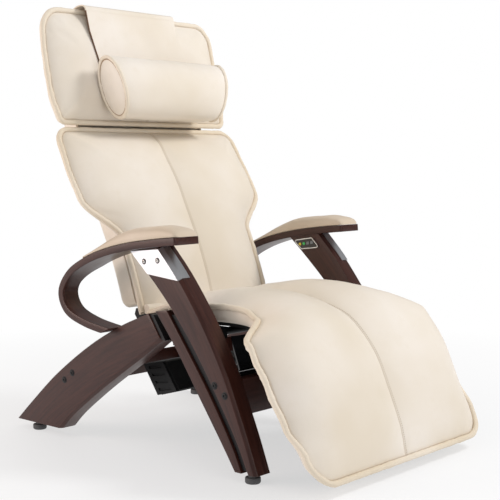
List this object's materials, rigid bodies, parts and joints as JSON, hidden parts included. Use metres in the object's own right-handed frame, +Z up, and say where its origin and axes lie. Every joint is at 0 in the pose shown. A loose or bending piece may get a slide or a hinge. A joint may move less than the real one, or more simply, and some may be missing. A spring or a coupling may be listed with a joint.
{
  "type": "massage chair",
  "caption": "Reclining massage chair: padded seat with leg rest, waisted back with a sliding roller carriage, head pillow, bentwood side frames and a small control panel.",
  "frame": {"origin": "on the floor, under the middle of the bounding box", "axes": "+Z up, the sitter faces -Y, +X is the sitter's left"},
  "size_m": [0.74, 1.0985, 1.183],
  "materials": {
    "wood": "dark stained beech, satin lacquer",
    "leather": "cream leather, soft grain, satin",
    "shell_leather": "cream leather over a moulded tray",
    "strap": "cream leather strap with a turned edge",
    "aluminium": "brushed and clear anodised",
    "black_steel": "black powder coat",
    "polished_steel": "ground and plated",
    "black_plastic": "fine texture, matt",
    "board": "black stained plywood",
    "gloss_black": "glossy black moulding",
    "rubber": "matt dark grey",
    "yellow_key": "satin moulded",
    "green_key": "satin moulded",
    "grey_plastic": "satin moulded"
  },
  "bodies": {
    "base": {"rear_leg_l": "wood", "rear_leg_r": "wood", "front_slat_l": "wood", "front_slat_r": "wood", "front_post_l": "wood", "front_post_r": "wood", "slat_spacer_l": "black_plastic", "slat_spacer_r": "black_plastic", "armrest_l": "wood", "armrest_r": "wood", "armrest_pad_l": "leather", "armrest_pad_r": "leather", "post_bracket_l": "aluminium", "post_bracket_r": "aluminium", "glide_front_l": "rubber", "glide_front_r": "rubber", "glide_rear_l": "rubber", "glide_rear_r": "rubber", "front_stretcher": "wood", "rear_stretcher": "wood", "tilt_bearing_l": "black_steel", "tilt_bearing_r": "black_steel", "power_box": "black_plastic", "power_box_cover": "black_plastic", "power_inlet": "grey_plastic", "actuator_clevis": "black_steel", "panel_bezel": "aluminium", "panel_face": "black_plastic"},
    "seat": {"seat_board": "board", "seat_pad": "leather", "tilt_shaft": "black_steel", "shaft_saddle_l": "black_steel", "shaft_saddle_r": "black_steel", "actuator_lever": "black_steel", "hinge_bracket_l": "black_steel", "hinge_bracket_r": "black_steel", "mechanism_shroud": "gloss_black"},
    "backrest": {"back_shell": "shell_leather", "back_pad": "leather", "head_pad": "leather", "back_hinge_pin": "black_steel", "head_strap": "strap", "carriage_rail_l": "black_steel", "carriage_rail_r": "black_steel", "rail_block_lower": "black_plastic", "rail_block_upper": "black_plastic"},
    "carriage": {"massage_carriage": "black_steel", "massage_motor": "black_plastic"},
    "roller": {"roller_shaft": "black_steel", "massage_roller_l": "rubber", "massage_roller_r": "rubber"},
    "actuator": {"actuator_housing": "black_plastic", "actuator_motor": "black_steel"},
    "rod": {"push_rod": "polished_steel"},
    "headrest_pillow": {"pillow": "leather", "pillow_flap": "strap"},
    "power_key": {"power_button": "yellow_key"},
    "massage_key": {"massage_button": "green_key"},
    "up_key": {"recline_up_key": "grey_plastic"},
    "down_key": {"recline_down_key": "grey_plastic"}
  },
  "joints": [
    {"name": "seat_tilt", "type": "hinge", "parent": "base", "child": "seat", "pos_m": [0, -0.07783, 0.316], "axis": [-1, 0, 0], "range_deg": [0, 14]},
    {"name": "back_recline", "type": "hinge", "parent": "seat", "child": "backrest", "pos_m": [0, 0.14217, 0.334], "axis": [-1, 0, 0], "range_deg": [0, 18.5]},
    {"name": "carriage_slide", "type": "slide", "parent": "backrest", "child": "carriage", "axis": [0, 0.4679, 0.8838], "range_m": [-0.13, 0.145]},
    {"name": "roller_spin", "type": "hinge", "parent": "carriage", "child": "roller", "pos_m": [0, 0.29911, 0.62139], "axis": [1, 0, 0], "continuous": true},
    {"name": "pillow_flip", "type": "hinge", "parent": "backrest", "child": "headrest_pillow", "pos_m": [0, 0.42117, 1.174], "axis": [-1, 0, 0], "range_deg": [0, 90]},
    {"name": "actuator_swing", "type": "hinge", "parent": "base", "child": "actuator", "pos_m": [0.075, 0.26417, 0.186], "axis": [-1, 0, 0], "range_deg": [0, 0.5]},
    {"name": "rod_extend", "type": "slide", "parent": "actuator", "child": "rod", "axis": [0, -0.9986, 0.0526], "range_m": [0, 0.028]},
    {"name": "power_press", "type": "slide", "parent": "base", "child": "power_key", "axis": [1, 0, 0], "range_m": [0, 0.0005], "stiffness_N_per_m": 400, "springref_m": -0.0005},
    {"name": "massage_press", "type": "slide", "parent": "base", "child": "massage_key", "axis": [1, 0, 0], "range_m": [0, 0.0005], "stiffness_N_per_m": 400, "springref_m": -0.0005},
    {"name": "up_press", "type": "slide", "parent": "base", "child": "up_key", "axis": [1, 0, 0], "range_m": [0, 0.0005], "stiffness_N_per_m": 400, "springref_m": -0.0005},
    {"name": "down_press", "type": "slide", "parent": "base", "child": "down_key", "axis": [1, 0, 0], "range_m": [0, 0.0005], "stiffness_N_per_m": 400, "springref_m": -0.0005}
  ],
  "couplings": [
    {"joint": "back_recline", "follows": "seat_tilt", "ratio": 1.3},
    {"joint": "actuator_swing", "follows": "seat_tilt", "ratio": 0.018},
    {"joint": "rod_extend", "follows": "seat_tilt", "m_per_rad": 0.1117}
  ]
}
